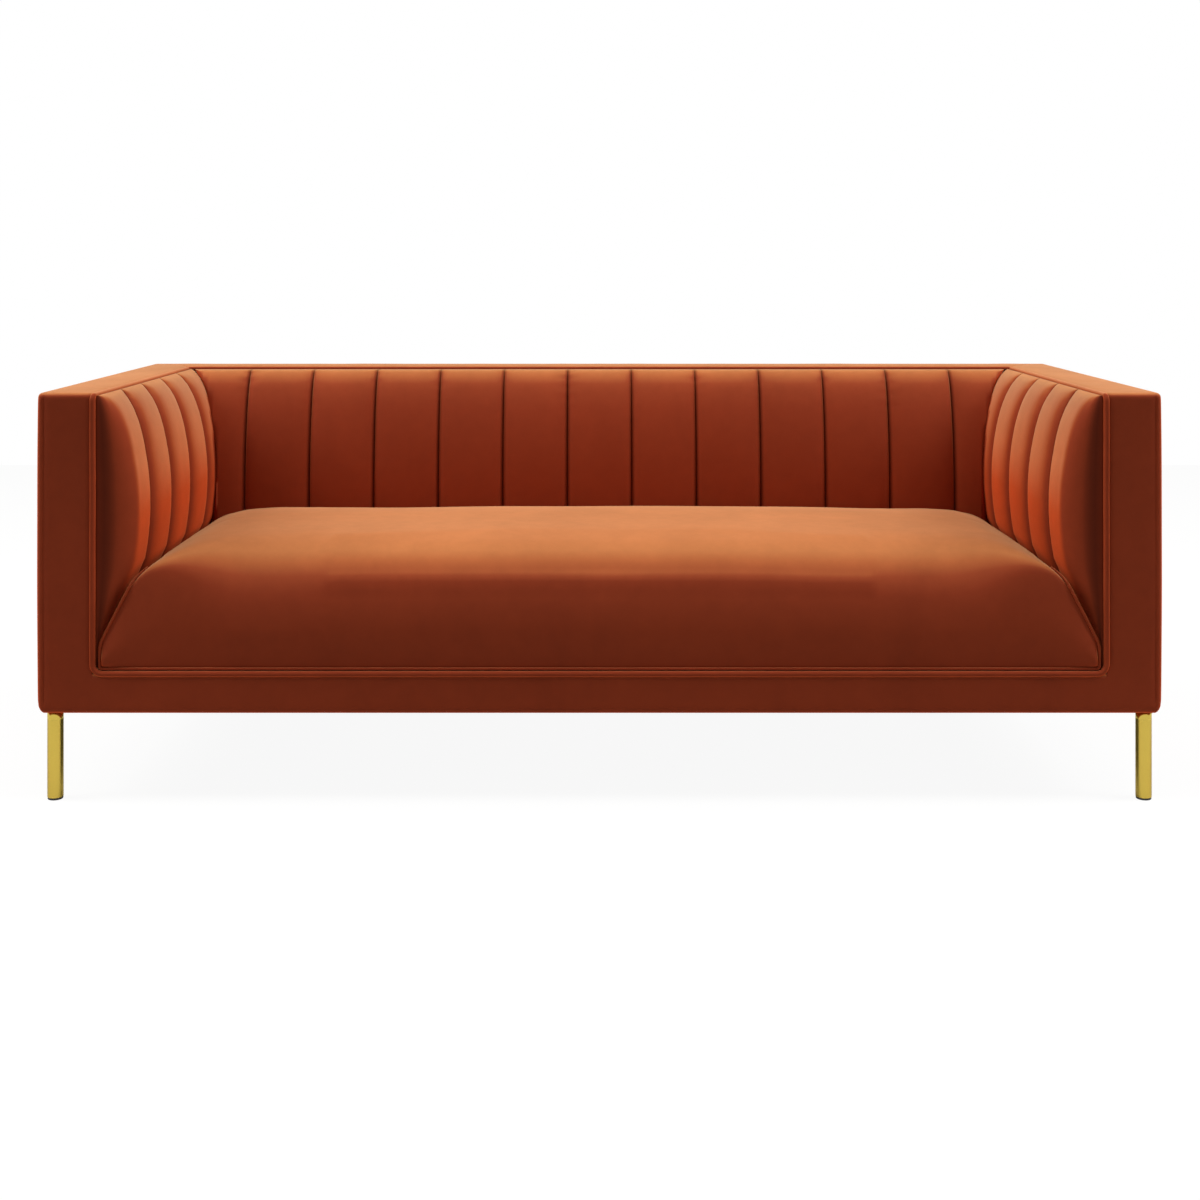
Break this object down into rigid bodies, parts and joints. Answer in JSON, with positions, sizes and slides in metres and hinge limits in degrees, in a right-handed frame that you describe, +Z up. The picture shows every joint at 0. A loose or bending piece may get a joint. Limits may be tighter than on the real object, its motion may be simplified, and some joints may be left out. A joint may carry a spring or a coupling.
{
  "type": "tuxedo sofa",
  "caption": "Low box sofa with arms as high as the back, vertical channelled pads inside, piped edges, one loose bench cushion and slim round metal legs.",
  "frame": {"origin": "on the floor, under the middle of the sofa's outside box", "axes": "+X to the right as seen from the front, +Y towards the back, +Z up"},
  "size_m": [2.134, 0.825, 0.776],
  "materials": {
    "velvet": "matte",
    "frame_wood": "matte",
    "fibre_board": "matte",
    "steel": "satin",
    "gold_metal": "polished",
    "glide_plastic": "matte",
    "foam": "matte",
    "felt": "matte",
    "lining": "matte"
  },
  "bodies": {
    "sofa_frame": {"arm_channel_pad_left": "velvet", "arm_channel_pad_right": "velvet", "arm_cover_left": "velvet", "arm_cover_right": "velvet", "arm_front_post_left": "frame_wood", "arm_front_post_right": "frame_wood", "arm_inner_board_left": "fibre_board", "arm_inner_board_right": "fibre_board", "arm_mid_post_left": "frame_wood", "arm_mid_post_right": "frame_wood", "arm_outer_board_left": "fibre_board", "arm_outer_board_right": "fibre_board", "arm_tack_rail_left": "frame_wood", "arm_tack_rail_right": "frame_wood", "arm_top_rail_left": "frame_wood", "arm_top_rail_right": "frame_wood", "back_bottom_rail": "frame_wood", "back_channel_pad": "velvet", "back_cover": "velvet", "back_inner_board": "fibre_board", "back_outer_board": "fibre_board", "back_stiles": "frame_wood", "back_tack_rail": "frame_wood", "back_top_rail": "frame_wood", "corner_blocks": "frame_wood", "deck_cloth": "lining", "deck_pad": "felt", "dust_cover": "lining", "foot_glides": "glide_plastic", "front_rail_cover": "velvet", "front_welt": "velvet", "leg_bolts": "steel", "leg_front_left": "gold_metal", "leg_front_right": "gold_metal", "leg_rear_left": "gold_metal", "leg_rear_right": "gold_metal", "rear_corner_post_left": "frame_wood", "rear_corner_post_right": "frame_wood", "seat_back_rail": "frame_wood", "seat_front_rail": "frame_wood", "seat_side_rail_left": "frame_wood", "seat_side_rail_right": "frame_wood", "seat_stretcher_left": "frame_wood", "seat_stretcher_right": "frame_wood", "sinuous_springs": "steel", "spring_clips": "steel", "spring_ties": "steel", "top_welt": "velvet"},
    "seat_cushion": {"seat_cushion_cover": "velvet", "seat_cushion_core": "foam", "seat_cushion_welt": "velvet"}
  },
  "joints": [
    {"name": "seat_cushion_pull", "type": "slide", "parent": "sofa_frame", "child": "seat_cushion", "axis": [0, -1, 0], "range_m": [0, 0.7]}
  ]
}
